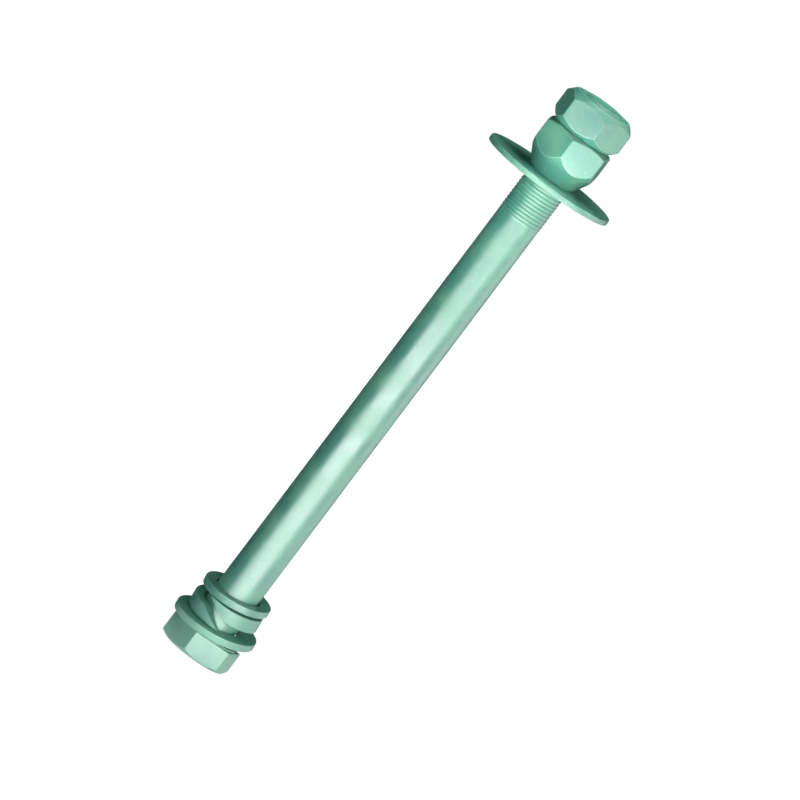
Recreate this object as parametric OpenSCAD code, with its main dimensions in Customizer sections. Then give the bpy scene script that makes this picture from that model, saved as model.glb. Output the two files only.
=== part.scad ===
// Through-wall bolt: a long hex-head bolt that clamps a wall between two sets of washers.
// It stands on its head. Z runs along the shank, and Z = 0 is the end face of the head.
// The front is -Y: directions round the axis are measured from there, positive towards +X.

/* [Bolt] */
// Size across the flats of the head
head_flats = 36; // [34:0.5:41]
// Height of the head, bearing disc included
head_h = 14; // [12:0.5:18]
// Diameter of the raised bearing disc under the head
bearing_d = 34; // [31:0.5:34]
// Height of the raised bearing disc
bearing_h = 0.8; // [0.4:0.1:1.2]
// Radius of the fillet between head and shank
neck_fillet = 1; // [0.6:0.1:1.2]
// Outer diameter of the thread
thread_d = 24; // [22:0.5:26]
// How much smaller than the thread the plain shank is, on the radius
shank_relief = 0.3; // [0.1:0.05:0.8]
// Length of the threaded end
thread_l = 74; // [70:1:90]
// How far the threaded end stands out of the outer nut
end_proud = 1; // [0.5:0.1:6]
// Height of the chamfer on the threaded end
end_chamfer = 1.8; // [0.8:0.1:2.5]
// Direction of one head corner, from the front
head_turn = -13; // [-30:1:30]

/* [Head washers] */
// Outer diameter of the flat washer on the head
head_washer_d = 45.8; // [42:0.1:50]
// Clearance of the thread in the hole of that washer, on the radius
head_washer_clearance = 1.3; // [1.2:0.1:2]
// Thickness of the flat washer on the head
head_washer_t = 4; // [3:0.1:5]
// Outer diameter of the small flat washer
small_washer_d = 37.6; // [35:0.1:42]
// Clearance of the thread in the hole of the small washer, on the radius
small_washer_clearance = 0.8; // [0.7:0.1:1.5]
// Thickness of the small flat washer
small_washer_t = 4; // [3:0.1:5]
// How far the washers lean down towards the left
lean_left = 5.8; // [3:0.1:7]
// How far the washers lean down towards the front
lean_front = 9; // [6:0.1:10]
// How far the washers hang off the shank's axis, to the right
washer_shift = 0.3; // [0:0.1:0.3]

/* [Lock washer] */
// Outer diameter of the lock washer
lock_d = 37.4; // [36:0.1:40]
// Clearance of the thread in the lock washer, on the radius
lock_clearance = 1.7; // [1.6:0.1:2]
// Height of the lock washer's section
lock_t = 7.8; // [5:0.1:8]
// How far the washer's ends stand apart when it is free
lock_rise = 6.2; // [4:0.1:6.5]
// Width of the gap between the ends
lock_gap = 1; // [0.5:0.1:4]
// How far the cut slants over the washer's section, along the rim
lock_slant = 14; // [2:0.5:16]
// Chamfer on the long edges of the section
lock_edge = 0.7; // [0.3:0.1:1.2]
// Direction of the cut, from the front
lock_turn = -11; // [-40:1:40]

/* [Wall] */
// Free length between the two sets of washers, for the wall
grip_l = 262; // [200:1:400]

/* [Nut end] */
// Outer diameter of the large plate washer
plate_washer_d = 74; // [60:0.5:90]
// Clearance of the thread in the hole of the plate washer, on the radius
plate_washer_clearance = 1; // [0.9:0.1:1.5]
// Thickness of the large plate washer
plate_washer_t = 3; // [2:0.1:5]
// Size across the flats of both nuts
nut_flats = 36; // [34:0.5:41]
// Half angle of the seat nut's taper
seat_angle = 29; // [24:0.5:32]
// Width of the land round the hole at the taper's small end
seat_land = 0.5; // [0.3:0.1:0.6]
// Height of the seat nut above the plate washer
seat_nut_h = 26; // [24:0.5:32]
// Height of the outer nut
outer_nut_h = 19; // [16:0.5:24]
// Direction of one corner of the seat nut, from the front
seat_nut_turn = -5; // [-30:1:30]
// Direction of one corner of the outer nut, from the front
outer_nut_turn = 17.6; // [-30:0.1:30]

/* [Finish and fits] */
// Angle of the chamfers on the head and the seat nut
hex_chamfer_angle = 30; // [20:1:35]
// Diameter of the flat that such a chamfer leaves, as a share of the flats
hex_face_share = 0.94; // [0.9:0.01:0.97]
// Angle of the steeper chamfers on the outer nut
outer_chamfer_angle = 45; // [30:1:50]
// Diameter of the flat that the outer nut's chamfers leave, as a share of the flats
outer_face_share = 0.9; // [0.86:0.01:0.95]
// Rounding of the washers' rims
washer_edge = 0.5; // [0.2:0.1:1]
// Width of the countersink at the upper end of the nuts' holes
nut_countersink = 0.6; // [0.3:0.1:0.9]
// Running clearance between thread and nut, on the radius
nut_clearance = 0.05; // [0.02:0.01:0.1]
// Gap that keeps touching faces from overlapping
touch_gap = 0.02; // [0.01:0.01:0.03]

/* [Hidden] */
mint = [0.56, 0.78, 0.69];
mint_shade = [0.47, 0.68, 0.60];
overcut = 1;
lock_steps = 48;
lock_levels = 6;
$fn = 96;

// The washers by the head lean together. A leaning plane reaches this much lower at a given radius.
lean = acos(cos(lean_left) * cos(lean_front));
lean_drop = tan(lean);

// The flat washer rests on the rim of the bearing disc at its lowest side. The leaning plane also
// drops a little for the washers' shift off the axis.
shift_drop = washer_shift * tan(lean_left) / cos(lean_front);
head_washer_z = head_h + touch_gap + (bearing_d / 2) * lean_drop + shift_drop
    + (head_washer_t / 2) / cos(lean);
lock_free_h = lock_t + lock_rise;
lock_z = head_washer_z + (head_washer_t / 2 + touch_gap + lock_free_h / 2) / cos(lean);
small_washer_z = lock_z + (lock_free_h / 2 + touch_gap + small_washer_t / 2) / cos(lean);
grip_z = small_washer_z + (small_washer_t / 2) / cos(lean);

plate_z = grip_z + grip_l;
seat_z = plate_z + plate_washer_t;
seat_nut_z = seat_z + seat_nut_h;
outer_nut_z = seat_nut_z + touch_gap + outer_nut_h;
bolt_l = outer_nut_z + end_proud;
thread_z = bolt_l - thread_l;

shank_d = thread_d - 2 * shank_relief;
nut_hole = thread_d + 2 * nut_clearance;
head_washer_hole = thread_d + 2 * head_washer_clearance;
lock_hole = thread_d + 2 * lock_clearance;
small_washer_hole = thread_d + 2 * small_washer_clearance;
plate_washer_hole = thread_d + 2 * plate_washer_clearance;

// Places its children on the shank at a height, leaning as the washers by the head lean: down to
// the left and to the front, and a little off the axis.
module lean_on_head(z) {
    translate([washer_shift, 0, z]) rotate([lean_front, 0, 0]) rotate([0, -lean_left, 0]) children();
}

// Hexagonal prism from z = 0 with one corner in the given direction from the front.
module hex_prism(flats, h, turn) {
    rotate([0, 0, turn - 90]) cylinder(d = flats / cos(30), h = h, $fn = 6);
}

// Round envelope that cuts the corners of a hexagon at its lower end, and at its upper end too if
// asked. Elsewhere it clears them by the overcut.
module hex_envelope(flats, h, angle, share, both) {
    face_r = flats * share / 2;
    corner_r = flats / cos(30) / 2 + overcut;
    drop = (corner_r - face_r) * tan(angle);
    rotate_extrude() polygon([
        [0, 0],
        [face_r, 0],
        [corner_r, drop],
        [corner_r, both ? h - drop : h],
        [both ? face_r : corner_r, h],
        [0, h]
    ]);
}

// Flat ring from z = 0 with its rims rounded, as a blanked and tumbled washer has them.
module washer_ring(d, hole, t) {
    rim = d / 2 - washer_edge;
    eye = hole / 2 + washer_edge;
    rotate_extrude() union() {
        translate([eye, 0]) square([rim - eye, t]);
        translate([hole / 2, washer_edge]) square([d / 2 - hole / 2, t - 2 * washer_edge]);
        for (x = [eye, rim], y = [washer_edge, t - washer_edge])
            translate([x, y]) circle(r = washer_edge, $fn = 24);
    }
}

// Threaded hole of a nut from z0 to z1, drawn plain, with a countersink at its upper end.
module nut_bore(z0, z1) {
    r = nut_hole / 2;
    translate([0, 0, z0 - overcut]) cylinder(r = r, h = z1 - z0 + 2 * overcut);
    translate([0, 0, z1 - nut_countersink])
        cylinder(r1 = r, r2 = r + 2 * nut_countersink, h = 2 * nut_countersink);
}

// Head of the bolt: forged hexagon with its free end chamfered and a bearing disc under it.
module bolt_head() {
    body_h = head_h - bearing_h;
    intersection() {
        hex_prism(head_flats, body_h, head_turn);
        hex_envelope(head_flats, body_h, hex_chamfer_angle, hex_face_share, false);
    }
    cylinder(d = bearing_d, h = head_h);
}

// Shank, fillet and threaded end, turned as one profile.
module bolt_stem() {
    shank_r = shank_d / 2;
    thread_r = thread_d / 2;
    rise = thread_r - shank_r;
    rotate_extrude() difference() {
        polygon([
            [0, head_h / 2],
            [shank_r + neck_fillet, head_h / 2],
            [shank_r + neck_fillet, head_h + neck_fillet],
            [shank_r, head_h + neck_fillet],
            [shank_r, thread_z - rise],
            [thread_r, thread_z],
            [thread_r, bolt_l - end_chamfer],
            [thread_r - end_chamfer, bolt_l],
            [0, bolt_l]
        ]);
        translate([shank_r + neck_fillet, head_h + neck_fillet]) circle(r = neck_fillet, $fn = 48);
    }
}

module hex_bolt() {
    color(mint) union() {
        bolt_head();
        bolt_stem();
    }
}

module head_washer() {
    color(mint_shade) lean_on_head(head_washer_z)
        translate([0, 0, -head_washer_t / 2])
            washer_ring(head_washer_d, head_washer_hole, head_washer_t);
}

// The coil of the lock washer runs over these angles. The cut slants, so the lower edge of a
// section runs ahead of its upper edge by twice this angle.
lock_half_gap = lock_gap / lock_d * 180 / PI;
lock_half_slant = lock_slant / lock_d * 180 / PI;
lock_first = lock_half_gap - lock_half_slant;
lock_last = 360 - lock_first;

// One corner of the lock washer's section, at an angle along the coil.
function lock_corner(along, r, up) =
    let (
        a = along + lock_half_slant * (1 - 2 * up / lock_t),
        base = lock_rise * (lock_last - a) / (lock_last - lock_first)
    ) [r * cos(a), r * sin(a), base + up];

// The section as radius and height: a rectangle with its long edges chamfered, going up its outer
// side and down its inner side. The sides have levels, because the slanting sections wind round.
lock_in = lock_hole / 2;
lock_out = lock_d / 2;
lock_side = [for (i = [0:lock_levels]) lock_edge + (lock_t - 2 * lock_edge) * i / lock_levels];
lock_outer = concat(
    [[lock_out - lock_edge, 0]],
    [for (up = lock_side) [lock_out, up]],
    [[lock_out - lock_edge, lock_t]]
);
lock_inner = concat(
    [[lock_in + lock_edge, 0]],
    [for (up = lock_side) [lock_in, up]],
    [[lock_in + lock_edge, lock_t]]
);
lock_section = concat(lock_outer, [for (i = [len(lock_inner) - 1:-1:0]) lock_inner[i]]);

// Two triangles that fill the four corners a, b, c, d.
function two_triangles(a, b, c, d) = [[a, b, c], [a, c, d]];

// Split ring: the section swept once round, falling anticlockwise, so it bites against loosening.
module lock_ring() {
    m = len(lock_section);
    half = len(lock_outer);
    far = lock_steps * m;
    points = [
        for (i = [0:lock_steps], p = lock_section)
            lock_corner(lock_half_gap + (360 - 2 * lock_half_gap) * i / lock_steps, p[0], p[1])
    ];
    sides = [
        for (i = [0:lock_steps - 1], j = [0:m - 1])
            let (k = (j + 1) % m, n = i * m)
                each two_triangles(n + j, n + m + j, n + m + k, n + k)
    ];
    ends = [
        for (j = [0:half - 2])
            let (k = m - 1 - j)
                each concat(
                    two_triangles(j, j + 1, k - 1, k),
                    two_triangles(far + k, far + k - 1, far + j + 1, far + j)
                )
    ];
    polyhedron(points, concat(sides, ends), convexity = 4);
}

module lock_washer() {
    color(mint) lean_on_head(lock_z)
        translate([0, 0, -lock_free_h / 2]) rotate([0, 0, lock_turn - 90]) lock_ring();
}

module small_washer() {
    color(mint_shade) lean_on_head(small_washer_z)
        translate([0, 0, -small_washer_t / 2])
            washer_ring(small_washer_d, small_washer_hole, small_washer_t);
}

module plate_washer() {
    color(mint_shade) translate([0, 0, plate_z])
        washer_ring(plate_washer_d, plate_washer_hole, plate_washer_t);
}

// Turned envelope of the seat nut: the taper rests on the rounded rim of the plate washer's hole,
// and the far end is chamfered. Its top is at seat_nut_z.
module seat_envelope() {
    taper = tan(seat_angle);
    rim_r = plate_washer_hole / 2 + washer_edge - (washer_edge + touch_gap) / cos(seat_angle);
    nose_r = nut_hole / 2 + seat_land;
    corner_r = nut_flats / cos(30) / 2 + overcut;
    face_r = nut_flats * hex_face_share / 2;
    nose_z = seat_z - washer_edge - (rim_r - nose_r) / taper;
    rotate_extrude() polygon([
        [0, nose_z],
        [nose_r, nose_z],
        [corner_r, nose_z + (corner_r - nose_r) / taper],
        [corner_r, seat_nut_z - (corner_r - face_r) * tan(hex_chamfer_angle)],
        [face_r, seat_nut_z],
        [0, seat_nut_z]
    ]);
}

module seat_nut() {
    color(mint) difference() {
        intersection() {
            translate([0, 0, plate_z]) hex_prism(nut_flats, seat_nut_z - plate_z, seat_nut_turn);
            seat_envelope();
        }
        nut_bore(plate_z, seat_nut_z);
    }
}

module outer_nut() {
    color(mint) translate([0, 0, outer_nut_z - outer_nut_h]) difference() {
        intersection() {
            hex_prism(nut_flats, outer_nut_h, outer_nut_turn);
            hex_envelope(nut_flats, outer_nut_h, outer_chamfer_angle, outer_face_share, true);
        }
        nut_bore(0, outer_nut_h);
    }
}

hex_bolt();
head_washer();
lock_washer();
small_washer();
plate_washer();
seat_nut();
outer_nut();
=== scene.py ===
"""Through-wall bolt: the looks of bolt, washers and nuts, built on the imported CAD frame.

Lengths are metres. Angles in the fields of the classes are degrees, unless a field says otherwise.
Z runs along the shank from the head, on which the bolt stands, and the front is -Y. Heights and
places come from the frame; the other sizes are the fields of the classes below.
"""

import logging
import math
from dataclasses import dataclass
from enum import Enum
from typing import Callable, ClassVar

import bmesh
import bpy
from mathutils import Matrix, Vector

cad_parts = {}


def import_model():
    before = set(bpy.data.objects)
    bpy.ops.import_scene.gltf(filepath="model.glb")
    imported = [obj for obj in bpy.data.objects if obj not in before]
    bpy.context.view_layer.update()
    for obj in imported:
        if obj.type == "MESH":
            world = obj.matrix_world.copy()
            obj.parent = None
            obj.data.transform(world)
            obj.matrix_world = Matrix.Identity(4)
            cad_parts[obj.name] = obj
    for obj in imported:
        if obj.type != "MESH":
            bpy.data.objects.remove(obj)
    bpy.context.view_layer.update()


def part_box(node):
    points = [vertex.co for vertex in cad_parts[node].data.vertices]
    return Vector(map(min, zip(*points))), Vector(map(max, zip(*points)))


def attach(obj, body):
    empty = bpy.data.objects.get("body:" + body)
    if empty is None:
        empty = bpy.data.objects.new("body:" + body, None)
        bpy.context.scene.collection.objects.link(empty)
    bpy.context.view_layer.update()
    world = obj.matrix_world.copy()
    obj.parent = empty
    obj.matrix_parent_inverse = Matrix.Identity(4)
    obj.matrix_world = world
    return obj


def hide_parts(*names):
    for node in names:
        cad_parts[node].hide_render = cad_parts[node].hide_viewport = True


LOG = logging.getLogger("through_wall_bolt")

MM = 0.001
FULL_TURN = 2 * math.pi
QUARTER = math.pi / 2
SIXTH = math.radians(60)
FRONT = -math.pi / 2
ORIGIN = (0.0, 0.0, 0.0)
UP = Vector((0.0, 0.0, 1.0))
WEAR = "wear"

Colour = tuple[float, float, float]
Ring = list[bmesh.types.BMEdge]
Place = Callable[[float], tuple[float, float]]
Socket = bpy.types.NodeSocket


class Body(Enum):
    """Bodies of the frame that the pieces ride on."""

    BOLT = "bolt"
    HEAD_WASHER = "head_washer"
    LOCK_WASHER = "lock_washer"
    SMALL_WASHER = "small_washer"
    PLATE_WASHER = "plate_washer"
    SEAT_NUT = "seat_nut"
    OUTER_NUT = "outer_nut"


class Slot(Enum):
    """Material slots."""

    BOLT = "bolt_coat"
    WASHER = "washer_coat"
    LOCK_WASHER = "lock_washer_coat"
    PLATE = "plate_coat"
    NUT = "nut_coat"


class NodeTree:
    """Nodes of a material or a world, started empty and filled node by node."""

    def __init__(self, owner: bpy.types.Material | bpy.types.World) -> None:
        """Switches the owner's nodes on and clears them.

        Args:
            owner: Material or world that gets the nodes.
        """
        owner.use_nodes = True
        self.nodes = owner.node_tree.nodes
        self.links = owner.node_tree.links
        self.nodes.clear()

    def add(self, kind: str, values: dict[str, object] | None = None) -> bpy.types.Node:
        """Adds a node.

        Args:
            kind: Blender's name for the kind of node.
            values: Values of its inputs, by their names.

        Returns:
            The new node.
        """
        node = self.nodes.new(kind)
        for name, value in (values or {}).items():
            node.inputs[name].default_value = value
        return node

    def join(self, source: Socket, target: Socket) -> None:
        """Links an output to an input."""
        self.links.new(source, target)

    def stretch(
        self,
        source: Socket,
        reach: tuple[float, float],
        result: tuple[float, float] = (0.0, 1.0),
        smooth: bool = True,
    ) -> Socket:
        """Turns one range of a value into another, and holds its ends.

        Args:
            source: The value's socket.
            reach: Values at which the result starts and ends.
            result: The result's first and last value.
            smooth: Whether it eases in and out between them.

        Returns:
            The result's socket.
        """
        node = self.add("ShaderNodeMapRange")
        node.interpolation_type = "SMOOTHSTEP" if smooth else "LINEAR"
        ends = ("From Min", "From Max", "To Min", "To Max")
        for name, value in zip(ends, (*reach, *result)):
            node.inputs[name].default_value = value
        self.join(source, node.inputs["Value"])
        return node.outputs["Result"]

    def mix(self, share: Socket, first: Socket | Colour, second: Colour) -> Socket:
        """Mixes two colours.

        Args:
            share: Socket that says how much of the second colour shows.
            first: The first colour, or the socket that gives it.
            second: The second colour.

        Returns:
            The mixed colour's socket.
        """
        node = self.add("ShaderNodeMix")
        node.data_type = "RGBA"
        self.join(share, node.inputs["Factor"])
        one, other = (socket for socket in node.inputs if socket.type == "RGBA")
        if isinstance(first, Socket):
            self.join(first, one)
        else:
            one.default_value = (*first, 1.0)
        other.default_value = (*second, 1.0)
        return next(socket for socket in node.outputs if socket.type == "RGBA")

    def for_view(self, others: Socket, view: Socket) -> Socket:
        """Shows one shader to the view, straight or by reflection, and another to all other rays.

        Args:
            others: Shader for the rays that light the object.
            view: Shader for the view.

        Returns:
            The shown shader's socket.
        """
        path = self.add("ShaderNodeLightPath")
        shown = path.outputs["Is Camera Ray"]
        for ray in ("Is Glossy Ray", "Is Transmission Ray"):
            either = self.add("ShaderNodeMath")
            either.operation = "MAXIMUM"
            self.join(shown, either.inputs[0])
            self.join(path.outputs[ray], either.inputs[1])
            shown = either.outputs["Value"]
        choice = self.add("ShaderNodeMixShader")
        self.join(shown, choice.inputs["Fac"])
        self.join(others, choice.inputs[1])
        self.join(view, choice.inputs[2])
        return choice.outputs["Shader"]


@dataclass(frozen=True)
class Pattern:
    """A noise pattern and the part of it that shows.

    Attributes:
        scale: Features per metre.
        detail: How many finer layers it has.
        reach: Its values at which it starts to show and shows fully.
        roughness: Weight of the finer layers.
    """

    scale: float
    detail: float
    reach: tuple[float, float]
    roughness: float = 0.6

    def noise(self, tree: NodeTree, place: Socket) -> Socket:
        """Adds the noise.

        Args:
            tree: Nodes of the material.
            place: Socket that places the pattern on the piece.

        Returns:
            The noise's socket.
        """
        values = {"Scale": self.scale, "Detail": self.detail, "Roughness": self.roughness}
        node = tree.add("ShaderNodeTexNoise", values)
        tree.join(place, node.inputs["Vector"])
        return node.outputs["Fac"]


@dataclass(frozen=True)
class MintCoat:
    """Satin mint coating over steel: blotched, finely frosted, and worn pale on the edges.

    Attributes:
        name: Name of the material.
        turn: Turn of its patterns in radians, so that no two pieces look alike.
        tilt: Tilt of its patterns in radians, so that they don't line up with the shank.
        body: Main colour.
        deep: Darker colour between the blotches.
        frost: Paler colour of the fine speckle.
        worn: Colour of the rubbed edges.
        blotches: Pattern of the main colour and of the gloss.
        speckle: Pattern of the frost and of the fine relief.
        grain: Pattern that breaks up the wear.
        roughness: Middle of its roughness.
        roughness_swing: How far the blotches take the roughness down and up.
        ior: Index of refraction.
        relief_strength: Strength of the fine relief.
        relief_depth: Depth of the fine relief.
    """

    name: str
    turn: float
    tilt: tuple[float, float] = (0.3, 0.5)
    body: Colour = (0.128, 0.395, 0.270)
    deep: Colour = (0.082, 0.310, 0.232)
    frost: Colour = (0.165, 0.415, 0.300)
    worn: Colour = (0.230, 0.490, 0.370)
    blotches: Pattern = Pattern(scale=60.0, detail=3.0, reach=(0.35, 0.68))
    speckle: Pattern = Pattern(scale=420.0, detail=5.0, reach=(0.50, 0.85))
    grain: Pattern = Pattern(scale=1500.0, detail=2.0, reach=(0.30, 0.60))
    roughness: float = 0.41
    roughness_swing: float = 0.08
    ior: float = 2.2
    relief_strength: float = 0.25
    relief_depth: float = 0.15 * MM

    def material(self) -> bpy.types.Material:
        """Makes the coating as a node material on Object coordinates.

        Returns:
            The new material.
        """
        made = bpy.data.materials.new(self.name)
        tree = NodeTree(made)
        output = tree.add("ShaderNodeOutputMaterial")
        shader = tree.add("ShaderNodeBsdfPrincipled", {"IOR": self.ior})
        tree.join(shader.outputs["BSDF"], output.inputs["Surface"])

        coordinates = tree.add("ShaderNodeTexCoord")
        mapping = tree.add("ShaderNodeMapping", {"Rotation": (*self.tilt, self.turn)})
        tree.join(coordinates.outputs["Object"], mapping.inputs["Vector"])
        place = mapping.outputs["Vector"]
        blotches = self.blotches.noise(tree, place)
        speckle = self.speckle.noise(tree, place)
        grain = self.grain.noise(tree, place)
        tree.join(self._colour(tree, blotches, speckle, grain), shader.inputs["Base Color"])

        glossy = self.roughness - self.roughness_swing
        dull = self.roughness + self.roughness_swing
        rough = tree.stretch(blotches, self.blotches.reach, (glossy, dull), smooth=False)
        tree.join(rough, shader.inputs["Roughness"])

        relief = tree.add(
            "ShaderNodeBump", {"Strength": self.relief_strength, "Distance": self.relief_depth}
        )
        tree.join(speckle, relief.inputs["Height"])
        tree.join(relief.outputs["Normal"], shader.inputs["Normal"])
        return made

    def _colour(self, tree: NodeTree, blotches: Socket, speckle: Socket, grain: Socket) -> Socket:
        """Lays the colours over one another.

        Args:
            tree: Nodes of the material.
            blotches: Socket of the blotches' noise.
            speckle: Socket of the speckle's noise.
            grain: Socket of the grain's noise.

        Returns:
            The finished colour's socket.
        """
        mottled = tree.mix(tree.stretch(blotches, self.blotches.reach), self.deep, self.body)
        frosted = tree.mix(tree.stretch(speckle, self.speckle.reach), mottled, self.frost)
        edge = tree.add("ShaderNodeAttribute")
        edge.attribute_name = WEAR
        rubbed = tree.add("ShaderNodeMath")
        rubbed.operation = "MULTIPLY"
        tree.join(edge.outputs["Fac"], rubbed.inputs[0])
        tree.join(tree.stretch(grain, self.grain.reach), rubbed.inputs[1])
        return tree.mix(rubbed.outputs["Value"], frosted, self.worn)


def stand(name: str, data: bpy.types.ID) -> bpy.types.Object:
    """Adds an object to the scene.

    Args:
        name: Name of the object.
        data: Its mesh, light or camera.

    Returns:
        The new object.
    """
    made = bpy.data.objects.new(name, data)
    bpy.context.scene.collection.objects.link(made)
    return made


def finished(name: str, bm: bmesh.types.BMesh) -> bpy.types.Mesh:
    """Writes a bmesh to a new mesh and frees it.

    Args:
        name: Name of the mesh.
        bm: The bmesh.

    Returns:
        The new mesh.
    """
    mesh = bpy.data.meshes.new(name)
    bm.to_mesh(mesh)
    bm.free()
    return mesh


class Shell:
    """A bmesh under construction and what turns it into a finished piece.

    Attributes:
        LEVEL: How far a point may lie off the height that it is looked for at.
        DOUBLES: Distance within which points become one.
        BEVELLED_FROM: Angle from which an edge can be softened.
        SHARP_FROM: Angle from which the shading keeps an edge sharp.
        BEVEL_SPANS: Spans of a softened edge.
    """

    LEVEL: ClassVar[float] = 0.001 * MM
    DOUBLES: ClassVar[float] = 0.0005 * MM
    BEVELLED_FROM: ClassVar[float] = 24.0
    SHARP_FROM: ClassVar[float] = 32.0
    BEVEL_SPANS: ClassVar[int] = 3

    def __init__(self) -> None:
        """Starts with an empty bmesh that has a wear value at each point."""
        self.bm = bmesh.new()
        self.wear = self.bm.verts.layers.float.new(WEAR)

    def everything(self) -> list[bmesh.types.BMVert | bmesh.types.BMEdge | bmesh.types.BMFace]:
        """Lists all points, edges and faces."""
        return [*self.bm.verts, *self.bm.edges, *self.bm.faces]

    @staticmethod
    def _put(vert: bmesh.types.BMVert, angle: float, place: Place) -> None:
        """Moves a point to the radius and height that belong to its angle."""
        radius, height = place(angle)
        vert.co = (radius * math.cos(angle), radius * math.sin(angle), height)

    def ring(self, angles: list[float], place: Place) -> Ring:
        """Starts a shell with a closed ring.

        Args:
            angles: Where the ring has its points, anticlockwise.
            place: Radius and height of the ring at an angle.

        Returns:
            The ring's edges.
        """
        made = bmesh.ops.create_circle(self.bm, cap_ends=False, segments=len(angles), radius=1.0)
        for vert, angle in zip(made["verts"], angles):
            self._put(vert, angle, place)
        return list({edge for vert in made["verts"] for edge in vert.link_edges})

    def grow(self, ring: Ring, place: Place) -> Ring:
        """Extrudes a ring of the shell to its next place.

        Args:
            ring: Edges of the ring to start from.
            place: Radius and height of the new ring at an angle.

        Returns:
            The new ring's edges.
        """
        grown = bmesh.ops.extrude_edge_only(self.bm, edges=ring)["geom"]
        verts = {g for g in grown if isinstance(g, bmesh.types.BMVert)}
        for vert in verts:
            self._put(vert, math.atan2(vert.co.y, vert.co.x), place)
        edges = (g for g in grown if isinstance(g, bmesh.types.BMEdge))
        return [edge for edge in edges if all(vert in verts for vert in edge.verts)]

    def grow_round(self, ring: Ring, radius: float, height: float) -> Ring:
        """Extrudes a ring of the shell to a circle."""
        return self.grow(ring, lambda _: (radius, height))

    def cap(self, ring: Ring) -> None:
        """Closes a flat ring with one face."""
        bmesh.ops.edgeloop_fill(self.bm, edges=ring)

    def bridge(self, one: Ring, other: Ring) -> None:
        """Joins two open rings that stand well apart."""
        bmesh.ops.bridge_loops(self.bm, edges=one + other)

    def fill(self, one: Ring, other: Ring) -> None:
        """Fills the flat face between two open rings at one height."""
        bmesh.ops.triangle_fill(
            self.bm, edges=one + other, use_beauty=True, use_dissolve=False, normal=UP
        )

    def open_ring(self, height: float) -> Ring:
        """Finds the open edges that lie at a height.

        Args:
            height: The height.

        Returns:
            The edges there that have only one face.
        """
        return [
            edge
            for edge in self.bm.edges
            if edge.is_boundary
            and all(abs(vert.co.z - height) < self.LEVEL for vert in edge.verts)
        ]

    def section(
        self, radii: tuple[float, float], heights: tuple[float, float], rounding: float, spans: int
    ) -> list[bmesh.types.BMVert]:
        """Draws the outline of a washer's section with rounded corners.

        Args:
            radii: Inner and outer radius.
            heights: Lower and upper height.
            rounding: Size of the roundings.
            spans: Spans of each rounding.

        Returns:
            The roundings' points.
        """
        (inner, outer), (low, high) = radii, heights
        corners = ((inner, low), (outer, low), (outer, high), (inner, high))
        face = self.bm.faces.new([self.bm.verts.new((r, 0.0, z)) for r, z in corners])
        rounded = bmesh.ops.bevel(
            self.bm,
            geom=list(face.verts),
            offset=rounding,
            offset_type="OFFSET",
            segments=spans,
            profile=0.5,
            affect="VERTICES",
            material=-1,
        )
        bmesh.ops.delete(self.bm, geom=list(self.bm.faces), context="FACES_ONLY")
        return rounded["verts"]

    def soften(self, width: float, keep: Callable[[bmesh.types.BMEdge], bool]) -> None:
        """Bevels sharp edges and marks the new faces as worn.

        Args:
            width: Width of the bevel.
            keep: Says whether an edge is bevelled.
        """
        bmesh.ops.recalc_face_normals(self.bm, faces=self.bm.faces)
        sharp = math.radians(self.BEVELLED_FROM)
        edges = [
            edge
            for edge in self.bm.edges
            if len(edge.link_faces) == 2 and edge.calc_face_angle(0.0) > sharp and keep(edge)
        ]
        made = bmesh.ops.bevel(
            self.bm,
            geom=edges,
            offset=width,
            offset_type="OFFSET",
            segments=self.BEVEL_SPANS,
            profile=0.5,
            affect="EDGES",
            material=-1,
            clamp_overlap=False,
        )
        bevel = set(made["faces"])
        for vert in made["verts"]:
            if all(face in bevel for face in vert.link_faces):
                vert[self.wear] = 1.0

    def piece(
        self, name: str, body: Body, nodes: list[str], coat: MintCoat
    ) -> bpy.types.Object:
        """Turns the bmesh into a piece of the scene.

        Args:
            name: Name of the piece.
            body: Body that it rides on.
            nodes: CAD nodes that it stands for.
            coat: Its coating.

        Returns:
            The piece's object, at the origin.
        """
        bmesh.ops.remove_doubles(self.bm, verts=self.bm.verts, dist=self.DOUBLES)
        bmesh.ops.recalc_face_normals(self.bm, faces=self.bm.faces)
        for face in self.bm.faces:
            face.smooth = True
        open_edges = sum(1 for edge in self.bm.edges if not edge.is_manifold)
        mesh = finished(name, self.bm)
        mesh.set_sharp_from_angle(angle=math.radians(self.SHARP_FROM))
        made = stand(name, mesh)
        weighted = made.modifiers.new("flat_faces_first", "WEIGHTED_NORMAL")
        weighted.keep_sharp = True
        made.data.materials.append(coat.material())
        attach(made, body.value)
        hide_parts(*nodes)
        LOG.info("%s: %d faces, %d open edges", name, len(mesh.polygons), open_edges)
        return made


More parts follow.
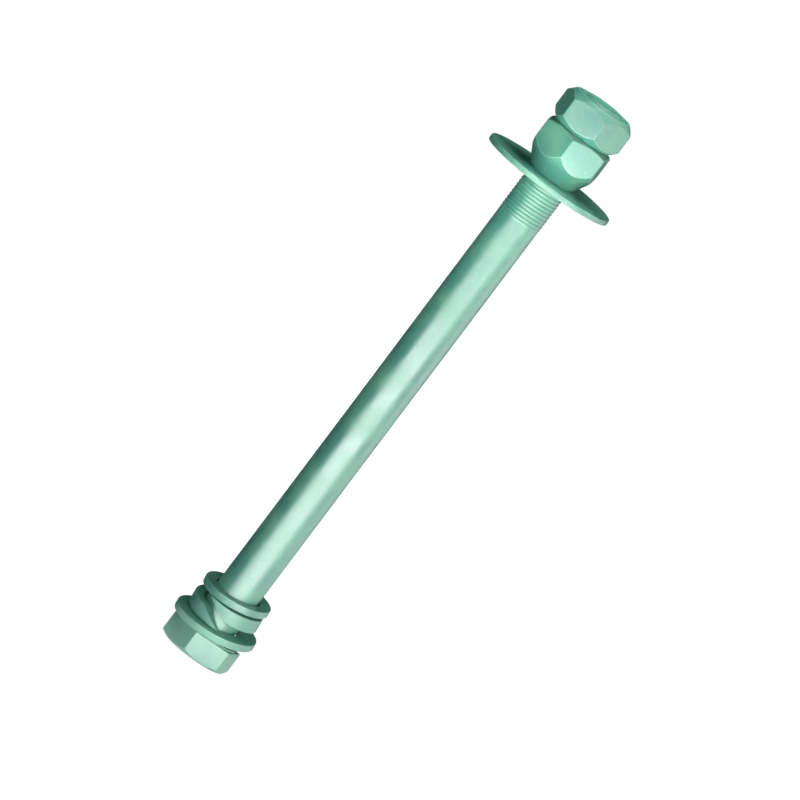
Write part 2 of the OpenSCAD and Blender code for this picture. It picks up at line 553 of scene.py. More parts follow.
@dataclass(frozen=True)
class Hexagon:
    """Outline of a hexagon with rounded corners, as radius against angle.

    Attributes:
        flats: Width across the flats.
        turn: Turn of its first corner from the front.
        corner_round: Radius of its corners.
        corner_spans: Spans of half a corner.
        flat_spans: Spans of a flat.
    """

    flats: float
    turn: float
    corner_round: float = 0.9 * MM
    corner_spans: int = 2
    flat_spans: int = 8

    @property
    def apothem(self) -> float:
        """Distance from the axis to a flat."""
        return self.flats / 2

    @property
    def first_corner(self) -> float:
        """Direction of the first corner from the axis, in radians."""
        return FRONT + math.radians(self.turn)

    @property
    def tangent(self) -> float:
        """Angle in radians from a flat's middle to where its corner's rounding starts."""
        reach = (self.apothem - self.corner_round) * math.tan(SIXTH / 2)
        return math.atan2(reach, self.apothem)

    def angles(self) -> list[float]:
        """Spaces the outline's points.

        Returns:
            Their angles in radians, anticlockwise from the first corner.
        """
        half, tangent = SIXTH / 2, self.tangent
        rounding = [(half - tangent) * i / self.corner_spans for i in range(self.corner_spans)]
        reach = math.tan(tangent)
        flat = [
            half + math.atan(reach * (2 * i / self.flat_spans - 1))
            for i in range(self.flat_spans + 1)
        ]
        side = rounding + flat + [SIXTH - angle for angle in reversed(rounding[1:])]
        return [self.first_corner + corner * SIXTH + angle for corner in range(6) for angle in side]

    def radius(self, angle: float) -> float:
        """Distance from the axis to the outline.

        Args:
            angle: Direction from the axis, in radians.

        Returns:
            The outline's radius in that direction.
        """
        from_corner = (angle - self.first_corner) % SIXTH
        from_corner = min(from_corner, SIXTH - from_corner)
        from_flat = SIXTH / 2 - from_corner
        if from_flat <= self.tangent:
            return self.apothem / math.cos(from_flat)
        centre = (self.apothem - self.corner_round) / math.cos(SIXTH / 2)
        inside = self.corner_round**2 - (centre * math.sin(from_corner)) ** 2
        return centre * math.cos(from_corner) + math.sqrt(max(inside, 0.0))


@dataclass(frozen=True)
class Thread:
    """Right-handed fine thread as one profile, wound by a spin that climbs.

    Attributes:
        PROFILE: Shares of a turn's climb, and the share of the groove's depth at each.
        DEPTH_PER_PITCH: Depth of the bare steel's groove for a pitch of 1.
        TURNS_BELOW: Turns wound below the lower end, to be trimmed.
        SPARE_TURNS: Turns wound beyond the length, to be trimmed at both ends.
        DOUBLES: Distance within which points of two turns become one.
        CUT_SNAP: Distance within which a point counts as on the cut.
        crest: Radius over its crests.
        pitch: Climb of a turn.
        filled: Share of the groove's depth that the coating has filled.
        steps: Steps of a turn.
    """

    PROFILE: ClassVar[tuple[tuple[float, float], ...]] = (
        (0.0, 1.0),
        (0.25, 1.0),
        (0.42, 0.5),
        (0.56, 0.0),
        (0.69, 0.0),
        (0.83, 0.5),
        (1.0, 1.0),
    )
    DEPTH_PER_PITCH: ClassVar[float] = 0.6134
    TURNS_BELOW: ClassVar[float] = 1.5
    SPARE_TURNS: ClassVar[int] = 3
    DOUBLES: ClassVar[float] = 0.001 * MM
    CUT_SNAP: ClassVar[float] = 1e-7

    crest: float
    pitch: float = 2 * MM
    filled: float = 0.72
    steps: int = 72

    @property
    def depth(self) -> float:
        """Depth of the groove that the coating leaves open."""
        return self.DEPTH_PER_PITCH * self.pitch * (1 - self.filled)

    def wind(
        self, shell: Shell, low: float, high: float, radius: Callable[[float, float], float]
    ) -> None:
        """Winds the thread and trims it between two heights.

        Args:
            shell: Empty shell that gets the thread's surface.
            low: Height of its lower end.
            high: Height of its upper end.
            radius: Radius of a point, from its share of the groove's depth and its height.
        """
        self._wind_turn(shell, low - self.TURNS_BELOW * self.pitch)
        turn = shell.everything()
        turns = math.ceil((high - low) / self.pitch) + self.SPARE_TURNS
        for i in range(1, turns):
            copied = bmesh.ops.duplicate(shell.bm, geom=turn)["geom"]
            bmesh.ops.translate(
                shell.bm,
                vec=(0.0, 0.0, i * self.pitch),
                verts=[g for g in copied if isinstance(g, bmesh.types.BMVert)],
            )
        bmesh.ops.remove_doubles(shell.bm, verts=shell.bm.verts, dist=self.DOUBLES)
        for vert in shell.bm.verts:
            flat = vert.co.xy
            share = (self.crest - flat.length) / self.depth
            flat = flat.normalized() * radius(share, vert.co.z)
            vert.co = (flat.x, flat.y, vert.co.z)
        self._trim(shell, low, high)

    def _wind_turn(self, shell: Shell, start: float) -> None:
        """Winds the profile once.

        Args:
            shell: Shell that gets the turn.
            start: Height at which the turn starts.
        """
        verts = [
            shell.bm.verts.new((self.crest - deep * self.depth, 0.0, start + share * self.pitch))
            for share, deep in self.PROFILE
        ]
        edges = [shell.bm.edges.new(pair) for pair in zip(verts, verts[1:])]
        bmesh.ops.spin(
            shell.bm,
            geom=verts + edges,
            cent=ORIGIN,
            axis=UP,
            dvec=(0.0, 0.0, self.pitch / self.steps),
            angle=FULL_TURN,
            steps=self.steps,
            use_merge=False,
            use_duplicate=False,
        )

    def _trim(self, shell: Shell, low: float, high: float) -> None:
        """Cuts the thread off square at both ends.

        Args:
            shell: Shell with the thread's surface.
            low: Height of its lower end.
            high: Height of its upper end.
        """
        for height, upper in ((low, False), (high, True)):
            bmesh.ops.bisect_plane(
                shell.bm,
                geom=shell.everything(),
                dist=self.CUT_SNAP,
                plane_co=(0.0, 0.0, height),
                plane_no=UP,
                clear_outer=upper,
                clear_inner=not upper,
            )
        loose = [vert for vert in shell.bm.verts if not vert.link_faces]
        bmesh.ops.delete(shell.bm, geom=loose, context="VERTS")


def fade(value: float, start: float, end: float) -> float:
    """Rises smoothly from 0 at start to 1 at end."""
    share = min(max((value - start) / (end - start), 0.0), 1.0)
    return share * share * (3 - 2 * share)


@dataclass(frozen=True)
class Lean:
    """How far a washer leans down towards the left and towards the front."""

    left: float = 0.0
    front: float = 0.0

    def place(self, centre: Vector) -> Matrix:
        """Finds the place of a leaning washer.

        Args:
            centre: The washer's centre.

        Returns:
            The matrix that puts a flat washer there.
        """
        forwards = Matrix.Rotation(math.radians(self.front), 4, "X")
        sideways = Matrix.Rotation(math.radians(-self.left), 4, "Y")
        return Matrix.Translation(centre) @ forwards @ sideways


HEAD_LEAN = Lean(left=5.8, front=9.0)


@dataclass(frozen=True)
class HexBolt:
    """The bolt itself, forged in one piece: hexagonal head, plain shank and threaded end.

    Attributes:
        head_flats: Width of the head across its flats.
        head_height: Height of the head with its bearing disc.
        head_turn: Turn of the head's first corner from the front.
        face_share: Width of the head's end face as a share of the flats.
        face_margin: Width of the strip round the top of the hexagon.
        chamfer_angle: Slope of the chamfer round the end face.
        edge: Width of the softened edges.
        edge_clear: Distance from the bearing disc within which edges stay sharp.
        edge_above: Height over the hexagon up to which edges are softened.
        bearing_radius: Radius of the raised disc under the washers.
        bearing_height: Height of the disc.
        disc_rim: Radius of the disc's rounded rim.
        disc_rim_spans: Spans of the rim's rounding.
        neck_fillet: Radius of the fillet between disc and shank.
        neck_spans: Spans of the fillet.
        thread_radius: Radius over the thread.
        thread_length: Length of the thread.
        shank_relief: How much smaller the shank's radius is than the thread's.
        cut_in_turns: Turns over which the thread reaches its depth.
        end_chamfer: Size of the chamfer at the threaded end.
        coat: Its coating.
    """

    head_flats: float = 36 * MM
    head_height: float = 14 * MM
    head_turn: float = -13.0
    face_share: float = 0.94
    face_margin: float = 0.6 * MM
    chamfer_angle: float = 30.0
    edge: float = 0.35 * MM
    edge_clear: float = 1 * MM
    edge_above: float = 0.1 * MM
    bearing_radius: float = 17 * MM
    bearing_height: float = 0.8 * MM
    disc_rim: float = 0.2 * MM
    disc_rim_spans: int = 3
    neck_fillet: float = 1 * MM
    neck_spans: int = 6
    thread_radius: float = 12 * MM
    thread_length: float = 74 * MM
    shank_relief: float = 0.3 * MM
    cut_in_turns: int = 2
    end_chamfer: float = 1.8 * MM
    coat: MintCoat = MintCoat("bolt_mint_coat", turn=0.4)

    @property
    def shank_radius(self) -> float:
        """Radius of the plain shank."""
        return self.thread_radius - self.shank_relief

    @property
    def hexagon_top(self) -> float:
        """Height of the hexagon without its bearing disc."""
        return self.head_height - self.bearing_height

    def build(self) -> bpy.types.Object:
        """Builds and dresses the bolt.

        Returns:
            The bolt's object.
        """
        shell = Shell()
        shank = self._threaded_end(shell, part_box("hex_bolt")[1].z)
        self._head(shell, self._neck(shell, shank))
        shell.soften(self.edge, self._on_hexagon)
        return shell.piece("hex_bolt_forged", Body.BOLT, ["hex_bolt"], self.coat)

    def _on_hexagon(self, edge: bmesh.types.BMEdge) -> bool:
        """Says whether an edge belongs to the hexagon, not to the disc or the shank.

        Args:
            edge: The edge.

        Returns:
            Whether it is softened.
        """
        top = max(vert.co.z for vert in edge.verts)
        inner = min(vert.co.xy.length for vert in edge.verts)
        clear = inner > self.bearing_radius + self.edge_clear
        return top < self.hexagon_top + self.edge_above and (clear or top < self.hexagon_top / 2)

    def _threaded_end(self, shell: Shell, top: float) -> Ring:
        """Winds the thread and closes its end.

        Args:
            shell: Empty shell of the bolt.
            top: Height of the threaded end.

        Returns:
            The open ring at the thread's lower end.
        """
        thread = Thread(self.thread_radius)
        low = top - self.thread_length
        full_depth = low + self.cut_in_turns * thread.pitch

        def radius(share: float, height: float) -> float:
            """Cuts in over the first turns and is chamfered at the end.

            Args:
                share: The point's share of the groove's depth.
                height: The point's height.

            Returns:
                The point's radius.
            """
            full = self.thread_radius - share * thread.depth
            cut_in = self.shank_radius + (full - self.shank_radius) * fade(height, low, full_depth)
            return min(cut_in, self.thread_radius - self.end_chamfer + max(top - height, 0.0))

        thread.wind(shell, low, top, radius)
        shell.cap(shell.open_ring(top))
        return shell.open_ring(low)

    def _neck(self, shell: Shell, ring: Ring) -> Ring:
        """Carries the shank down to the bearing disc.

        Args:
            shell: Shell of the bolt.
            ring: Open ring at the thread's lower end.

        Returns:
            The disc's lower ring.
        """
        for i in range(self.neck_spans + 1):
            bend = QUARTER * i / self.neck_spans
            radius = self.shank_radius + self.neck_fillet * (1 - math.cos(bend))
            height = self.head_height + self.neck_fillet * (1 - math.sin(bend))
            ring = shell.grow_round(ring, radius, height)
        for i in range(self.disc_rim_spans + 1):
            bend = QUARTER * i / self.disc_rim_spans
            radius = self.bearing_radius - self.disc_rim * (1 - math.sin(bend))
            height = self.head_height - self.disc_rim * (1 - math.cos(bend))
            ring = shell.grow_round(ring, radius, height)
        return shell.grow_round(ring, self.bearing_radius, self.hexagon_top)

    def _head(self, shell: Shell, disc: Ring) -> None:
        """Builds the hexagon from the bearing disc down to its chamfered end face.

        Args:
            shell: Shell of the bolt.
            disc: The disc's lower ring.
        """
        hexagon = Hexagon(self.head_flats, self.head_turn)
        top = self.hexagon_top
        face = self.head_flats * self.face_share / 2
        slope = math.tan(math.radians(self.chamfer_angle))
        ring = shell.ring(
            hexagon.angles(), lambda angle: (hexagon.radius(angle) - self.face_margin, top)
        )
        shell.fill(disc, ring)
        ring = shell.grow(ring, lambda angle: (hexagon.radius(angle), top))
        ring = shell.grow(
            ring, lambda angle: (hexagon.radius(angle), (hexagon.radius(angle) - face) * slope)
        )
        shell.cap(shell.grow_round(ring, face, 0.0))


@dataclass(frozen=True)
class FlatWasher:
    """A blanked flat washer with rounded rims, square to the shank or leaning on the head.

    Attributes:
        node: CAD node that it stands for.
        body: Body that it rides on.
        slot: Material slot of its finish; not used.
        coat: Its coating.
        diameter: Diameter over its rim.
        hole: Diameter of its hole.
        thickness: Thickness.
        lean: How far it leans.
        rim: Radius of its rounded rims.
        rim_spans: Spans of a rounding.
        rim_ends: Strip at a rounding's ends that isn't worn.
        rim_wear: Wear of the roundings, from 0 to 1.
        spans: Spans of the whole round.
    """

    node: str
    body: Body
    slot: Slot
    coat: MintCoat
    diameter: float
    hole: float
    thickness: float
    lean: Lean = Lean()
    rim: float = 0.5 * MM
    rim_spans: int = 4
    rim_ends: float = 0.02 * MM
    rim_wear: float = 0.8
    spans: int = 128

    def build(self) -> bpy.types.Object:
        """Builds and dresses the washer.

        Returns:
            The washer's object.
        """
        shell = Shell()
        half = self.thickness / 2
        rounded = shell.section(
            (self.hole / 2, self.diameter / 2), (-half, half), self.rim, self.rim_spans
        )
        for vert in rounded:
            if self._is_rubbed(vert.co):
                vert[shell.wear] = self.rim_wear
        bmesh.ops.spin(
            shell.bm,
            geom=shell.everything(),
            cent=ORIGIN,
            axis=UP,
            angle=FULL_TURN,
            steps=self.spans,
            use_merge=True,
            use_duplicate=False,
        )
        low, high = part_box(self.node)
        place = self.lean.place((low + high) / 2)
        bmesh.ops.transform(shell.bm, matrix=place, verts=shell.bm.verts)
        return shell.piece(
            f"{self.node}_blanked", self.body, [self.node], self.coat
        )

    def _is_rubbed(self, point: Vector) -> bool:
        """Says whether a point of the section lies on a rounding, clear of its ends.

        Args:
            point: The point.

        Returns:
            Whether it is worn.
        """
        across = min(point.x - self.hole / 2, self.diameter / 2 - point.x)
        along = self.thickness / 2 - abs(point.z)
        return min(across, along) > self.rim_ends


@dataclass(frozen=True)
class LockWasher:
    """The split spring washer in its free shape, with a slanting cut.

    Attributes:
        diameter: Diameter over its rim.
        hole: Diameter of its hole.
        height: Height of its section.
        rise: How far its ends stand apart in height.
        gap: Width of the cut.
        slant: How far the cut runs along the rim from bottom to top.
        edge: Radius of its rounded edges.
        edge_spans: Spans of a rounding.
        rim_cuts: Cuts across the height of its rim and its hole.
        turn: Turn of the cut from the front.
        spans: Spans of the whole round.
        lean: How far it leans.
        coat: Its coating.
    """

    diameter: float = 37.4 * MM
    hole: float = 27.4 * MM
    height: float = 7.8 * MM
    rise: float = 6.2 * MM
    gap: float = 1 * MM
    slant: float = 14 * MM
    edge: float = 0.7 * MM
    edge_spans: int = 4
    rim_cuts: int = 5
    turn: float = -11.0
    spans: int = 120
    lean: Lean = HEAD_LEAN
    coat: MintCoat = MintCoat("lock_washer_mint_coat", turn=2.1)

    def build(self) -> bpy.types.Object:
        """Builds and dresses the lock washer, midway between its two neighbours.

        Returns:
            The washer's object.
        """
        shell = Shell()
        half_gap = self.gap / self.diameter
        self._wind(shell, half_gap)
        self._coil(shell, half_gap)
        low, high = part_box("head_washer")
        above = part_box("small_washer")
        centre = ((low + high) / 2 + (above[0] + above[1]) / 2) / 2
        bmesh.ops.transform(shell.bm, matrix=self.lean.place(centre), verts=shell.bm.verts)
        return shell.piece(
            "lock_washer_split", Body.LOCK_WASHER, ["lock_washer"], self.coat
        )

    def _wind(self, shell: Shell, half_gap: float) -> None:
        """Sweeps the section round from one side of the gap to the other and closes the ends.

        Args:
            shell: Empty shell of the washer.
            half_gap: Half the gap, in radians.
        """
        shell.section(
            (self.hole / 2, self.diameter / 2), (0.0, self.height), self.edge, self.edge_spans
        )
        upright = [
            edge
            for edge in shell.bm.edges
            if abs(edge.verts[0].co.z - edge.verts[1].co.z) > self.height / 2
        ]
        bmesh.ops.subdivide_edges(shell.bm, edges=upright, cuts=self.rim_cuts)
        bmesh.ops.rotate(
            shell.bm,
            cent=ORIGIN,
            matrix=Matrix.Rotation(half_gap, 3, "Z"),
            verts=shell.bm.verts,
        )
        first = list(shell.bm.edges)
        swept = bmesh.ops.spin(
            shell.bm,
            geom=shell.everything(),
            cent=ORIGIN,
            axis=UP,
            angle=FULL_TURN - 2 * half_gap,
            steps=self.spans,
            use_merge=False,
            use_duplicate=False,
        )
        shell.cap(first)
        shell.cap([g for g in swept["geom_last"] if isinstance(g, bmesh.types.BMEdge)])

    def _coil(self, shell: Shell, half_gap: float) -> None:
        """Slants the cut, lifts one end over the other and turns the cut to its side.

        Args:
            shell: Shell of the washer, flat and with an upright cut.
            half_gap: Half the gap, in radians.
        """
        half_slant = self.slant / self.diameter
        first = half_gap - half_slant
        last = FULL_TURN - first
        start = FRONT + math.radians(self.turn)
        for vert in shell.bm.verts:
            along = math.atan2(vert.co.y, vert.co.x) % FULL_TURN
            radius, up = vert.co.xy.length, vert.co.z
            turned = along + half_slant * (1 - 2 * up / self.height)
            base = self.rise * (last - turned) / (last - first)
            vert.co = (
                radius * math.cos(turned + start),
                radius * math.sin(turned + start),
                base + up - (self.height + self.rise) / 2,
            )


@dataclass(frozen=True)
class HexNut:
    """A hexagonal nut with a chamfered end and a threaded hole; a seat nut tapers at the other.

    Attributes:
        node: CAD node that it stands for.
        body: Body that it rides on.
        turn: Turn of its first corner from the front.
        coat: Its coating.
        seat_angle: Half angle of its taper, or None for a second chamfer.
        seat_land: Width of the flat ring at the taper's foot.
        flats: Width across the flats.
        face_share: Width of its end faces as a share of the flats.
        face_margin: Width of the strip round an end face.
        chamfer_angle: Slope of the chamfers.
        edge: Width of the softened edges.
        edge_clear: Distance from the hole within which edges stay sharp.
        bore_radius: Radius of its hole.
        countersink: Size of the countersink.
        groove_share: Depth of the hole's thread as a share of the bolt's.
    """

    node: str
    body: Body
    turn: float
    coat: MintCoat
    seat_angle: float | None = None
    seat_land: float = 0.5 * MM
    flats: float = 36 * MM
    face_share: float = 0.94
    face_margin: float = 0.8 * MM
    chamfer_angle: float = 30.0
    edge: float = 0.35 * MM
    edge_clear: float = 0.45 * MM
    bore_radius: float = 12.05 * MM
    countersink: float = 0.6 * MM
    groove_share: float = 0.6

    @property
    def hexagon(self) -> Hexagon:
        """Outline of the flats."""
        return Hexagon(self.flats, self.turn)

    @property
    def face_radius(self) -> float:
        """Radius of the end faces."""
        return self.flats * self.face_share / 2

    @property
    def chamfer_slope(self) -> float:
        """Drop of the chamfers per length outwards."""
        return math.tan(math.radians(self.chamfer_angle))

    def build(self) -> bpy.types.Object:
        """Builds and dresses the nut.

        Returns:
            The nut's object.
        """
        shell = Shell()
        low, high = (corner.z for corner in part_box(self.node))
        mouth = high - self.countersink
        self._bore(shell, low, mouth)
        bottom, top = shell.open_ring(low), shell.open_ring(mouth)
        top = shell.grow_round(top, self.bore_radius + self.countersink, high)
        if self.seat_angle is None:
            ring = self._chamfered_end(shell, bottom, low)
        else:
            ring = self._seat(shell, bottom, low)
        self._upper_end(shell, ring, top, high)
        bore = self.bore_radius + self.edge_clear
        shell.soften(self.edge, lambda edge: min(v.co.xy.length for v in edge.verts) > bore)
        return shell.piece(f"{self.node}_turned", self.body, [self.node], self.coat)

    def _bore(self, shell: Shell, low: float, high: float) -> None:
        """Cuts the thread outwards from the hole, fading out at both ends.

        Args:
            shell: Empty shell of the nut.
            low: Height of the hole's lower end.
            high: Height of the hole's upper end.
        """
        thread = Thread(self.bore_radius)

        def radius(share: float, height: float) -> float:
            """Cuts the groove outside the hole's own radius.

            Args:
                share: The point's share of the groove's depth.
                height: The point's height.

            Returns:
                The point's radius.
            """
            lower = fade(height, low, low + thread.pitch)
            upper = 1 - fade(height, high - thread.pitch, high)
            deep = (1 - share) * thread.depth * self.groove_share
            return self.bore_radius + deep * (lower * upper)

        thread.wind(shell, low, high, radius)

    def _chamfered_end(self, shell: Shell, hole: Ring, low: float) -> Ring:
        """Builds a flat lower end with a chamfer.

        Args:
            shell: Shell of the nut.
            hole: The hole's lower ring.
            low: Height of the end.

        Returns:
            The ring at which the flats start.
        """
        hexagon, face = self.hexagon, self.face_radius
        ring = shell.ring(hexagon.angles(), lambda _: (face - self.face_margin, low))
        shell.fill(hole, ring)
        ring = shell.grow_round(ring, face, low)

        def chamfer(angle: float) -> tuple[float, float]:
            """Where the chamfer meets the flats."""
            radius = hexagon.radius(angle)
            return radius, low + (radius - face) * self.chamfer_slope

        return shell.grow(ring, chamfer)

    def _seat(self, shell: Shell, hole: Ring, low: float) -> Ring:
        """Builds a lower end that tapers to the hole.

        Args:
            shell: Shell of the nut.
            hole: The hole's lower ring.
            low: Height of the end.

        Returns:
            The ring at which the flats start.
        """
        hexagon = self.hexagon
        start = self.bore_radius + self.seat_land
        taper = math.tan(math.radians(self.seat_angle))
        cone = shell.grow_round(hole, start, low)
        middle = (start + self.flats / 2) / 2
        cone = shell.grow_round(cone, middle, low + (middle - start) / taper)

        def foot(angle: float) -> tuple[float, float]:
            """Where the taper meets the flats."""
            radius = hexagon.radius(angle)
            return radius, low + (radius - start) / taper

        ring = shell.ring(hexagon.angles(), foot)
        shell.bridge(cone, ring)
        return ring

    def _upper_end(self, shell: Shell, ring: Ring, hole: Ring, high: float) -> None:
        """Builds the flats, the upper chamfer and the upper end.

        Args:
            shell: Shell of the nut.
            ring: Ring at which the flats start.
            hole: The countersink's upper ring.
            high: Height of the end.
        """
        hexagon, face = self.hexagon, self.face_radius

        def chamfer(angle: float) -> tuple[float, float]:
            """Where the chamfer meets the flats."""
            radius = hexagon.radius(angle)
            return radius, high - (radius - face) * self.chamfer_slope

        ring = shell.grow(ring, chamfer)
        ring = shell.grow_round(ring, face, high)
        ring = shell.grow_round(ring, face - self.face_margin, high)
        shell.fill(hole, ring)


def around(azimuth: float, distance: float, height: float) -> Vector:
    """Finds a point round the bolt.

    Args:
        azimuth: Its direction from the front towards +X, in degrees.
        distance: Its distance from the shank's middle line.
        height: Its height above the floor.

    Returns:
        The point.
    """
    turned = math.radians(azimuth)
    return Vector((distance * math.sin(turned), -distance * math.cos(turned), height))


@dataclass(frozen=True)
class Backdrop:
    """White to the view all round, a dim even light on the object, and a pale floor.

    Attributes:
        light: Colour of the even light.
        strength: Strength of the even light.
        floor_radius: Radius of the floor.
        floor_spans: Spans of its edge.
        floor_drop: How far the floor lies under the head, so that the two don't touch.
        floor_colour: Colour of the floor.
        glow: Strength of the floor's own glow to the view, near the bolt and far from it.
        glow_reach: Distances from the bolt at which the glow starts to rise and is full.
    """

    light: Colour = (0.55, 0.85, 1.0)
    strength: float = 0.08
    floor_radius: float = 8.0
    floor_spans: int = 96
    floor_drop: float = 0.02 * MM
    floor_colour: Colour = (0.8, 0.8, 0.8)
    glow: tuple[float, float] = (0.8, 1.0)
    glow_reach: tuple[float, float] = (0.03, 0.4)

    def build(self) -> None:
        """Builds the world and the floor."""
        self._world()
        bm = bmesh.new()
        bmesh.ops.create_circle(
            bm, cap_ends=True, segments=self.floor_spans, radius=self.floor_radius
        )
        bmesh.ops.translate(bm, vec=(0.0, 0.0, -self.floor_drop), verts=bm.verts)
        floor = stand("floor", finished("floor", bm))
        floor.data.materials.append(self._floor_material())

    def _world(self) -> None:
        """Makes the world white to the view and dim to the object."""
        world = bpy.data.worlds.new("studio_white")
        bpy.context.scene.world = world
        tree = NodeTree(world)
        output = tree.add("ShaderNodeOutputWorld")
        dim = tree.add(
            "ShaderNodeBackground", {"Color": (*self.light, 1.0), "Strength": self.strength}
        )
        white = tree.add("ShaderNodeBackground", {"Color": (1.0, 1.0, 1.0, 1.0)})
        shown = tree.for_view(dim.outputs["Background"], white.outputs["Background"])
        tree.join(shown, output.inputs["Surface"])

    def _floor_material(self) -> bpy.types.Material:
        """Makes the floor near white to the view, with the object's shadow on it.

        Returns:
            The new material.
        """
        made = bpy.data.materials.new("pale_floor")
        tree = NodeTree(made)
        output = tree.add("ShaderNodeOutputMaterial")
        lit = tree.add("ShaderNodeBsdfDiffuse", {"Color": (*self.floor_colour, 1.0)})
        coordinates = tree.add("ShaderNodeTexCoord")
        distance = tree.add("ShaderNodeVectorMath")
        distance.operation = "LENGTH"
        tree.join(coordinates.outputs["Object"], distance.inputs[0])
        glow = tree.add("ShaderNodeEmission")
        strength = tree.stretch(distance.outputs["Value"], self.glow_reach, self.glow)
        tree.join(strength, glow.inputs["Strength"])
        both = tree.add("ShaderNodeAddShader")
        tree.join(lit.outputs["BSDF"], both.inputs[0])
        tree.join(glow.outputs["Emission"], both.inputs[1])
        shown = tree.for_view(lit.outputs["BSDF"], both.outputs["Shader"])
        tree.join(shown, output.inputs["Surface"])
        return made


@dataclass(frozen=True)
class Flags:
    """Two black sheets that only reflections see: they paint dark reflections, so that the far left
    and flat tops stay deep.

    Attributes:
        start: Direction in which both sheets start, from the front towards +X.
        low_end: Direction in which the low sheet ends, round the left and the back.
        high_end: Direction in which the high sheet ends, over the front.
        inner: Radius at which the low sheet starts.
        outer: Radius at which both stand up.
        low: Height of the low sheet.
        high: Height at which the high sheet starts.
        top: Height of both sheets' tops.
        spans: Spans of a sheet.
        black: Colour of the sheets, seen only as painted dark reflections.
    """

    start: float = -38.0
    low_end: float = -215.0
    high_end: float = 60.0
    inner: float = 60 * MM
    outer: float = 0.5
    low: float = 0.5 * MM
    high: float = 0.25
    top: float = 1.2
    spans: int = 24
    black: Colour = (0.01, 0.01, 0.01)

    def build(self) -> None:
        """Builds both sheets as one object."""
        made = bpy.data.materials.new("black_flag")
        tree = NodeTree(made)
        output = tree.add("ShaderNodeOutputMaterial")
        painted_dark_reflection = tree.add("ShaderNodeBsdfDiffuse", {"Color": (*self.black, 1.0)})
        tree.join(painted_dark_reflection.outputs["BSDF"], output.inputs["Surface"])
        bm = bmesh.new()
        top = (self.outer, self.top)
        self._sheet(bm, self.low_end, [(self.inner, self.low), (self.outer, self.low), top])
        self._sheet(bm, self.high_end, [(self.outer, self.high), top])
        flag = stand("flag", finished("flag", bm))
        flag.data.materials.append(made)
        # Only reflections see the sheets, so they paint dark reflections and cast no shade.
        flag.visible_camera = False
        flag.visible_diffuse = False
        flag.visible_shadow = False

    def _sheet(
        self, bm: bmesh.types.BMesh, end: float, profile: list[tuple[float, float]]
    ) -> None:
        """Sweeps a sheet round the bolt.

        Args:
            bm: Bmesh that gets the sheet.
            end: Direction in which it ends.
            profile: Distances and heights of its profile.
        """
        verts = [bm.verts.new(around(self.start, *place)) for place in profile]
        edges = [bm.edges.new(pair) for pair in zip(verts, verts[1:])]
        bmesh.ops.spin(
            bm,
            geom=verts + edges,
            cent=ORIGIN,
            axis=UP,
            angle=math.radians(end - self.start),
            steps=self.spans,
            use_duplicate=False,
        )


@dataclass(frozen=True)
class Lamp:
    """Area lamp that faces a point on the shank's middle line.

    Attributes:
        name: Name of the lamp.
        azimuth: Its direction from the front, towards +X.
        height: Its height above the floor.
        distance: Its distance from the shank's middle line.
        size: Its width and height.
        power: Its power in watts.
        aim: Height of the point that it faces.
        glossy: Whether gloss shows it.
        diffuse: Whether it lights the colour itself.
    """

    name: str
    azimuth: float
    height: float
    distance: float
    size: tuple[float, float]
    power: float
    aim: float = 0.175
    glossy: bool = True
    diffuse: bool = True

    def build(self) -> None:
        """Adds the lamp, unseen by the camera."""
        light = bpy.data.lights.new(self.name, "AREA")
        light.shape = "RECTANGLE"
        light.size, light.size_y = self.size
        light.energy = self.power
        lamp = stand(self.name, light)
        lamp.visible_camera = False
        lamp.visible_glossy = self.glossy
        lamp.visible_diffuse = self.diffuse
        lamp.location = around(self.azimuth, self.distance, self.height)
        facing = self.aim * UP - lamp.location
        lamp.rotation_euler = facing.to_track_quat("-Z", "Y").to_euler()


@dataclass(frozen=True)
class LongLens:
    """Camera far in front and just above the horizon, rolled to the photograph's lean.

    Attributes:
        elevation: Its angle above the horizon.
        axis_angle: Angle of the shank to the picture's lower edge.
        view_width: Width of the view at the shank.
        foot: Pixel of the middle of the head's end face.
        picture: Width and height of the picture in pixels.
        lens: Focal length in millimetres.
        sensor: Width of the sensor in millimetres.
    """

    elevation: float = 7.6
    axis_angle: float = 53.04
    view_width: float = 0.4061
    foot: tuple[float, float] = (192.5, 653.3)
    picture: float = 800.0
    lens: float = 800.0
    sensor: float = 36.0

    def build(self) -> None:
        """Adds the camera and makes it the scene's own."""
        data = bpy.data.cameras.new("camera")
        data.lens = self.lens
        data.sensor_width = self.sensor
        camera = stand("camera", data)
        raised = math.radians(self.elevation)
        back = Vector((0.0, -math.cos(raised), math.sin(raised)))
        level_up = Vector((0.0, math.sin(raised), math.cos(raised)))
        level_right = Vector((1.0, 0.0, 0.0))
        roll = math.radians(90.0 - self.axis_angle)
        right = math.cos(roll) * level_right + math.sin(roll) * level_up
        up = math.cos(roll) * level_up - math.sin(roll) * level_right
        metres = self.view_width / self.picture
        across = self.picture / 2 - self.foot[0]
        down = self.picture / 2 - self.foot[1]
        aim = across * metres * right - down * metres * up
        distance = self.view_width * self.lens / self.sensor
        placed = Matrix((right, up, back)).transposed().to_4x4()
        placed.translation = aim + back * distance
        camera.matrix_world = placed
        bpy.context.scene.camera = camera


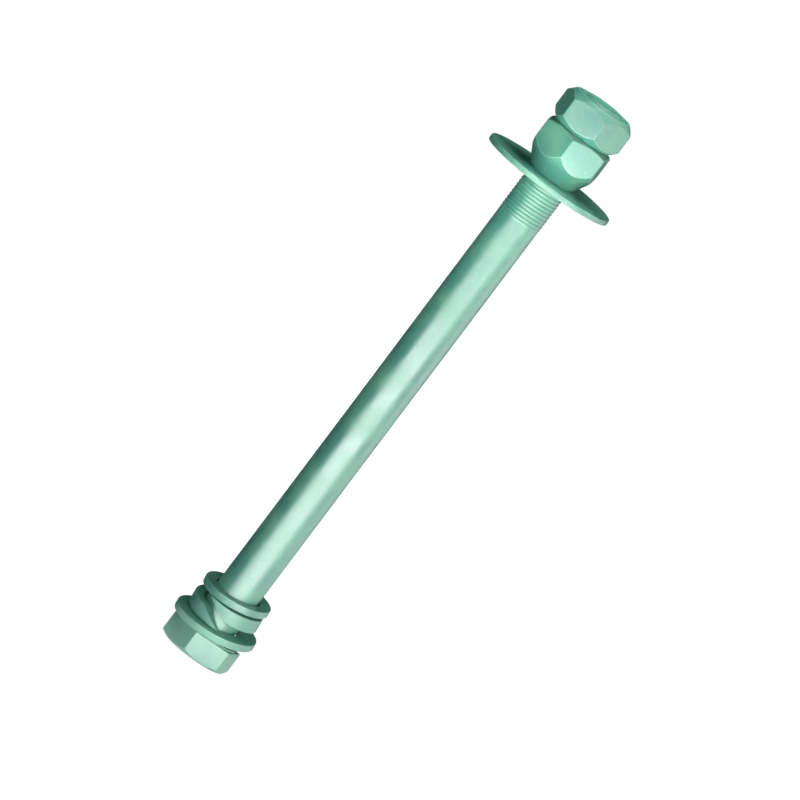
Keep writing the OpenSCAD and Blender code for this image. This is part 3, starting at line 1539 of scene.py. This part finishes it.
@dataclass(frozen=True)
class Studio:
    """Plain pale studio with soft light from the right front.

    Attributes:
        backdrop: World and floor.
        flags: Black sheets for the reflections.
        lamps: A long lamp in front and weaker ones beside, by the head, by the nuts and behind.
        camera: Camera at the photograph's angle.
    """

    backdrop: Backdrop = Backdrop()
    flags: Flags = Flags()
    lamps: tuple[Lamp, ...] = (
        Lamp("key", azimuth=7.5, height=0.072, distance=0.46, size=(0.90, 0.21), power=2.2),
        Lamp(
            "gleam",
            azimuth=6.5,
            height=0.06,
            distance=0.45,
            size=(0.84, 0.11),
            power=1.0,
            diffuse=False,
        ),
        Lamp("side", azimuth=104.0, height=0.08, distance=0.8, size=(0.5, 0.34), power=0.75),
        Lamp(
            "head_end",
            azimuth=27.0,
            height=0.035,
            distance=0.17,
            size=(0.10, 0.04),
            power=0.055,
            aim=0.02,
            glossy=False,
        ),
        Lamp(
            "rims",
            azimuth=22.0,
            height=0.012,
            distance=0.10,
            size=(0.10, 0.022),
            power=0.022,
            aim=0.045,
            diffuse=False,
        ),
        Lamp(
            "nut_end",
            azimuth=-2.0,
            height=0.311,
            distance=0.14,
            size=(0.1, 0.03),
            power=0.16,
            aim=0.33,
            glossy=False,
        ),
        Lamp(
            "nut_gleam",
            azimuth=46.0,
            height=0.27,
            distance=0.4,
            size=(0.16, 0.12),
            power=0.19,
            diffuse=False,
        ),
        Lamp(
            "cap",
            azimuth=0.0,
            height=0.42,
            distance=0.005,
            size=(0.03, 0.03),
            power=0.07,
            glossy=False,
        ),
        Lamp(
            "taper",
            azimuth=16.0,
            height=0.3085,
            distance=0.036,
            size=(0.04, 0.005),
            power=0.003,
            aim=0.325,
        ),
        Lamp(
            "back_left",
            azimuth=-150.0,
            height=0.3,
            distance=1.4,
            size=(0.8, 0.6),
            power=6.0,
            glossy=False,
        ),
        Lamp(
            "back_right",
            azimuth=150.0,
            height=0.3,
            distance=1.4,
            size=(0.8, 0.6),
            power=6.0,
            glossy=False,
        ),
    )
    camera: LongLens = LongLens()

    def build(self) -> None:
        """Sets up the backdrop, the flags, the lamps, the camera and the view transform."""
        self.backdrop.build()
        self.flags.build()
        for lamp in self.lamps:
            lamp.build()
        self.camera.build()
        bpy.context.scene.view_settings.view_transform = "Standard"


def parts() -> list[HexBolt | FlatWasher | LockWasher | HexNut]:
    """Lists the seven parts, from the head to the nut end.

    Returns:
        The parts, not yet built.
    """
    return [
        HexBolt(),
        FlatWasher(
            "head_washer",
            Body.HEAD_WASHER,
            Slot.WASHER,
            MintCoat("head_washer_mint_coat", turn=1.0),
            diameter=45.8 * MM,
            hole=26.6 * MM,
            thickness=4 * MM,
            lean=HEAD_LEAN,
        ),
        LockWasher(),
        FlatWasher(
            "small_washer",
            Body.SMALL_WASHER,
            Slot.WASHER,
            MintCoat("small_washer_mint_coat", turn=1.7),
            diameter=37.6 * MM,
            hole=25.6 * MM,
            thickness=4 * MM,
            lean=HEAD_LEAN,
        ),
        FlatWasher(
            "plate_washer",
            Body.PLATE_WASHER,
            Slot.PLATE,
            MintCoat("plate_washer_mint_coat", turn=2.6),
            diameter=74 * MM,
            hole=26 * MM,
            thickness=3 * MM,
        ),
        HexNut(
            "seat_nut",
            Body.SEAT_NUT,
            turn=-5.0,
            coat=MintCoat("seat_nut_mint_coat", turn=3.3),
            seat_angle=29.0,
        ),
        HexNut(
            "outer_nut",
            Body.OUTER_NUT,
            turn=17.6,
            coat=MintCoat("outer_nut_mint_coat", turn=4.1),
            face_share=0.9,
            chamfer_angle=45.0,
        ),
    ]


def main() -> None:
    """Builds every part on the frame, then the studio."""
    logging.basicConfig(level=logging.INFO, format="%(name)s: %(message)s")
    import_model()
    for part in parts():
        part.build()
    Studio().build()


if __name__ == "__main__":
    main()
